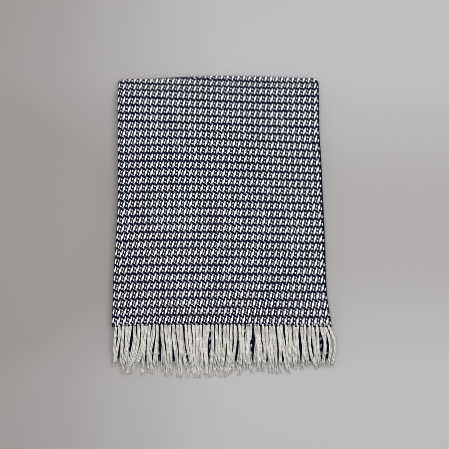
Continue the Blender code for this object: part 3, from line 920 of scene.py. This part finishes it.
# Each strand becomes a few yarns laid round each other, with frayed fibres at their tips.
def buildFringeTree():
    tree, given = newTree("fringeYarns", (
        ("Strands", "Geometry"), ("Yarns", "Int"), ("Points", "Int"), ("Turns", "Float"),
        ("Side", "Float"), ("High", "Float"), ("Width", "Float"), ("Sides", "Int"), ("Fibres", "Int"),
        ("Fibre Length", "Float"), ("Fibre Width", "Float"), ("Seed", "Int"), ("Material", "Material")))
    curves = addNode(tree, "GeometryNodeMeshToCurve", {0: given["Strands"]})
    even = addNode(tree, "GeometryNodeResampleCurve", {0: curves, "Count": given["Points"]}, mode="COUNT")
    tangent = addNode(tree, "GeometryNodeInputTangent")
    kept = addNode(tree, "GeometryNodeStoreNamedAttribute",
                   {0: even, 2: "way", 3: tangent}, data_type="FLOAT_VECTOR", domain="POINT")
    copies = addNode(tree, "GeometryNodeDuplicateElements", {0: kept, "Amount": given["Yarns"]},
                     domain="SPLINE")
    numbered = addNode(tree, "GeometryNodeStoreNamedAttribute",
                       {0: copies, 2: "copy", 3: copies.outputs[1]}, data_type="INT", domain="CURVE")
    copy = addNode(tree, "GeometryNodeInputNamedAttribute", {"Name": "copy"}, data_type="INT")
    way = addNode(tree, "GeometryNodeInputNamedAttribute", {"Name": "way"}, data_type="FLOAT_VECTOR")
    spline = addNode(tree, "GeometryNodeSplineParameter")
    factor = spline.outputs["Factor"]
    here = addNode(tree, "GeometryNodeInputPosition")
    parts = addNode(tree, "ShaderNodeSeparateXYZ", {0: here})
    # each yarn's turn round the middle of its strand
    place = calc(tree, "DIVIDE", copy, given["Yarns"])
    twisted = calc(tree, "MULTIPLY_ADD", factor, given["Turns"], place)
    start = calc(tree, "MULTIPLY_ADD", parts, fringe["twistDrift"], twisted)
    angle = calc(tree, "MULTIPLY", start, 2 * pi)
    sine = calc(tree, "SINE", angle)
    cosine = calc(tree, "COSINE", angle)
    across = calcVector(tree, "CROSS_PRODUCT", way, (0.0, 0.0, 1.0))
    level = calcVector(tree, "NORMALIZE", across)
    upward = calcVector(tree, "CROSS_PRODUCT", level, way)
    loosen = addNode(tree, "ShaderNodeMapRange",
                     {0: factor, 1: fringe["looseFrom"], 3: 1.0, 4: fringe["looseEnd"]})
    wide = calc(tree, "MULTIPLY", sine, given["Side"])
    wider = calc(tree, "MULTIPLY", wide, loosen)
    high = calc(tree, "MULTIPLY", cosine, given["High"])
    sideways = addNode(tree, "ShaderNodeVectorMath", {0: level, "Scale": wider}, operation="SCALE")
    upwards = addNode(tree, "ShaderNodeVectorMath", {0: upward, "Scale": high}, operation="SCALE")
    offset = calcVector(tree, "ADD", sideways, upwards)
    ropes = addNode(tree, "GeometryNodeSetPosition", {0: numbered, 3: offset})
    # the yarns themselves, thinner at the tip
    taper = addNode(tree, "ShaderNodeMapRange",
                    {0: factor, 1: fringe["taperFrom"], 3: 0.5, 4: fringe["tipWidth"] / 2})
    radius = calc(tree, "MULTIPLY", taper, given["Width"])
    sized = addNode(tree, "GeometryNodeSetCurveRadius", {0: ropes, 2: radius})
    marked = addNode(tree, "GeometryNodeStoreNamedAttribute",
                     {0: sized, 2: "along", 3: spline.outputs["Length"]}, domain="POINT")
    ring = addNode(tree, "GeometryNodeCurvePrimitiveCircle", {0: given["Sides"], 4: 1.0})
    outline = addNode(tree, "GeometryNodeStoreNamedAttribute",
                      {0: ring, 2: "around", 3: factor}, domain="POINT")
    thickness = addNode(tree, "GeometryNodeInputRadius")
    yarns = addNode(tree, "GeometryNodeCurveToMesh",
                    {0: marked, 1: outline, "Scale": thickness, "Fill Caps": True})
    # frayed fibres: a tuft at the tip of each yarn
    tips = addNode(tree, "GeometryNodeCurveEndpointSelection", {"Start Size": 0, "End Size": 1})
    isTip = addNode(tree, "GeometryNodeStoreNamedAttribute",
                    {0: ropes, 2: "isTip", 3: tips}, data_type="BOOLEAN", domain="POINT")
    ends = addNode(tree, "GeometryNodeCurveToPoints", {0: isTip}, mode="EVALUATED")
    tipMark = addNode(tree, "GeometryNodeInputNamedAttribute", {"Name": "isTip"}, data_type="BOOLEAN")
    notTip = addNode(tree, "FunctionNodeBooleanMath", {0: tipMark}, operation="NOT")
    tipPoints = addNode(tree, "GeometryNodeDeleteGeometry", {0: ends, 1: notTip}, domain="POINT")
    many = addNode(tree, "GeometryNodeDuplicateElements", {0: tipPoints, "Amount": given["Fibres"]},
                   domain="POINT")
    first, bend, end = fringe["fibreShape"]
    fibre = addNode(tree, "GeometryNodeCurveQuadraticBezier",
                    {"Resolution": 4, "Start": first, "Middle": bend, "End": end})
    least, most = fringe["fibreStray"]
    stray = addNode(tree, "FunctionNodeRandomValue",
                    {0: least, 1: most, "Seed": given["Seed"]}, data_type="FLOAT_VECTOR")
    aim = calcVector(tree, "ADD", way, stray)
    rotation = addNode(tree, "FunctionNodeAlignRotationToVector", {"Vector": aim}, axis="Z")
    spinSeed = calc(tree, "ADD", given["Seed"], 7.0)
    spin = addNode(tree, "FunctionNodeRandomValue", {2: 0.0, 3: 2 * pi, "Seed": spinSeed})
    spun = addNode(tree, "FunctionNodeAxisAngleToRotation",
                   {"Axis": (0.0, 0.0, 1.0), "Angle": spin.outputs[1]})
    whole = addNode(tree, "FunctionNodeRotateRotation", {0: rotation, 1: spun}, rotation_space="LOCAL")
    lengthSeed = calc(tree, "ADD", given["Seed"], 3.0)
    shortest, longest = fringe["fibreSpan"]
    longer = addNode(tree, "FunctionNodeRandomValue", {2: shortest, 3: longest, "Seed": lengthSeed})
    fibreScale = calc(tree, "MULTIPLY", longer.outputs[1], given["Fibre Length"])
    hairs = addNode(tree, "GeometryNodeInstanceOnPoints", {0: many, 2: fibre, 5: whole, 6: fibreScale})
    realHairs = addNode(tree, "GeometryNodeRealizeInstances", {0: hairs})
    thin = addNode(tree, "GeometryNodeCurvePrimitiveCircle", {0: 3, 4: 1.0})
    thick, thinner = fringe["fibreTaper"]
    hairWidth = addNode(tree, "ShaderNodeMapRange", {0: factor, 3: thick, 4: thinner})
    hairSize = calc(tree, "MULTIPLY", hairWidth, given["Fibre Width"])
    hairMesh = addNode(tree, "GeometryNodeCurveToMesh",
                       {0: realHairs, 1: thin, "Scale": hairSize, "Fill Caps": True})
    # the material paints shade on the flanks, where a face doesn't look up, and leaves the fibres unshaded
    outward = addNode(tree, "GeometryNodeInputNormal")
    upright = addNode(tree, "ShaderNodeSeparateXYZ", {0: outward})
    faced = addNode(tree, "GeometryNodeStoreNamedAttribute",
                    {0: yarns, 2: "facing", 3: upright.outputs[2]}, domain="POINT")
    loose = addNode(tree, "GeometryNodeStoreNamedAttribute",
                    {0: hairMesh, 2: "facing", 3: 1.0}, domain="POINT")
    joined = addNode(tree, "GeometryNodeJoinGeometry")
    for part in (loose, faced):
        feed(tree, joined, {0: part})
    clear = keepAbove(tree, here, fringe["floorGap"] * mm)
    lying = addNode(tree, "GeometryNodeSetPosition", {0: joined, 2: clear})
    soft = addNode(tree, "GeometryNodeSetShadeSmooth", {0: lying})
    real = addNode(tree, "GeometryNodeRealizeInstances", {0: soft})
    painted = addNode(tree, "GeometryNodeSetMaterial", {0: real, 2: given["Material"]})
    addNode(tree, "NodeGroupOutput", {0: painted})
    return tree


print("laying the fringe")
fringeYarn = yarnMaterial(finishes["fringe"])
fringeTree = buildFringeTree()
fringePieces = {}
for name, hemY, ply, row in (
        ("fringe_top", fold["upperHemY"], 1, 1), ("fringe_under", fold["lowerHemY"], 2, 0)):
    fringePieces[name] = growYarns(buildStrands(name, hemY, ply, row), fringeTree, {
        "Yarns": fringe["yarns"], "Points": fringe["steps"], "Turns": fringe["turns"],
        "Side": fringe["ropeSide"] * mm, "High": fringe["ropeHigh"] * mm,
        "Width": fringe["yarnWidth"] * mm, "Sides": fringe["sides"], "Fibres": fringe["fibres"],
        "Fibre Length": fringe["fibreLength"] * mm, "Fibre Width": fringe["fibreWidth"] * mm,
        "Seed": fringe["seeds"][name], "Material": fringeYarn})

# Floor, light and camera, in metres

print("setting the stage")
stage = {
    "floorSize": 8,
    # painted light on the floor: darker at the left, lighter at the right
    "floorShadedToLitColours": ("8E8A88", "ABA9AB"),  # at the left and at the right
    "paintedLightAcross": (-0.5, 0.15),  # the places in X between which one turns into the other
    "cloudSize": 1 / 3,
    "cloudShare": 0.25,
    # painted shadow: a darker band across the middle of the floor
    "shadowBand": (0.05, 0.36),  # darker up to the first distance in Y, and not past the second
    "shadowShare": 0.55,
    "worldColour": "F3F5FA",
    "worldStrength": 0.48,
    "boxSize": (2.0, 1.6),
    "boxWatts": 52,
    "boxColour": (1.0, 0.985, 0.965),
    "boxPlace": (0.35, 0.1, 2.2),
    "boxTurn": (-3, 9, 0),  # in degrees
    "cameraHigh": 1.9,
    "cameraX": 0.0052,
    "viewWidth": 0.925,  # what the picture spans at the top of the stack
    "topHigh": 0.025,
    "sensor": 36,
    "sampleSpread": 0.8,  # in pixels
}
# matt paint on a flat board gives the eye a quiet warm grey with soft random clouds; painted light
# makes it darker at the left, and a painted shadow band darkens it across the middle
floorMaterial, floorTree, floorSurface = newMaterial("matt painted floor")
spot = addNode(floorTree, "ShaderNodeTexCoord")
cloud = addNode(floorTree, "ShaderNodeTexNoise",
                {"Vector": spot.outputs["Object"], "Scale": 1 / stage["cloudSize"], "Detail": 4.0})
side = addNode(floorTree, "ShaderNodeSeparateXYZ", {0: spot.outputs["Object"]})
# painted light: the floor lightens from left to right
paintedLightRamp = addNode(floorTree, "ShaderNodeMapRange",
               {0: side, 1: stage["paintedLightAcross"][0], 2: stage["paintedLightAcross"][1]},
               interpolation_type="SMOOTHSTEP")
drift = calc(floorTree, "MULTIPLY_ADD", cloud, stage["cloudShare"], paintedLightRamp, use_clamp=True)
# painted shadow: darker in a band across the middle, in Y
away = calc(floorTree, "ABSOLUTE", side.outputs[1])
paintedMiddleShadow = addNode(floorTree, "ShaderNodeMapRange",
                     {0: away, 1: stage["shadowBand"][0], 2: stage["shadowBand"][1],
                      3: stage["shadowShare"], 4: 0.0}, interpolation_type="SMOOTHSTEP")
uneven = calc(floorTree, "SUBTRACT", drift, paintedMiddleShadow, use_clamp=True)
dark, pale = stage["floorShadedToLitColours"]
tone = addNode(floorTree, "ShaderNodeMix", {0: uneven, 6: linear(dark), 7: linear(pale)}, data_type="RGBA")
feed(floorTree, floorSurface, {"Base Color": tone.outputs[2], "Roughness": 0.9})
bpy.ops.mesh.primitive_plane_add(size=stage["floorSize"], location=(0, 0, 0))
floor = bpy.context.object
floor.name = "floor"
floor.data.materials.append(floorMaterial)

world = bpy.data.worlds.new("soft studio")
world.use_nodes = True
feed(world.node_tree, world.node_tree.nodes["Background"],
     {0: linear(stage["worldColour"]), 1: stage["worldStrength"]})
bpy.context.scene.world = world
softBox = bpy.data.lights.new("soft box", "AREA")
softBox.shape = "RECTANGLE"
softBox.size, softBox.size_y = stage["boxSize"]
softBox.energy = stage["boxWatts"]
softBox.color = stage["boxColour"]
lamp = addObject("soft box", softBox)
lamp.location = stage["boxPlace"]
lamp.rotation_euler = [radians(angle) for angle in stage["boxTurn"]]

camera = bpy.data.cameras.new("camera")
camera.sensor_width = stage["sensor"]
camera.lens = stage["sensor"] * (stage["cameraHigh"] - stage["topHigh"]) / stage["viewWidth"]
eye = addObject("camera", camera)
eye.location = (stage["cameraX"], 0, stage["cameraHigh"])
bpy.context.scene.camera = eye
bpy.context.scene.view_settings.view_transform = "Standard"
bpy.context.scene.cycles.filter_width = stage["sampleSpread"]

# Hide the part's own meshes, attach the pieces to the body and count their triangles

print("naming what each piece is")
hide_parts("cloth")
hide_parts("fringe_upper")
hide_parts("fringe_lower")
for piece in [sheet] + yarnPieces:
    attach(piece, body)
for piece in fringePieces.values():
    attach(piece, body)

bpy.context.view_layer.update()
total = 0
for piece in [sheet] + yarnPieces + list(fringePieces.values()):
    count = sum(len(face.vertices) - 2 for face in piece.data.polygons)
    total += count
    print(piece.name, count, "triangles")
print("in all", total)
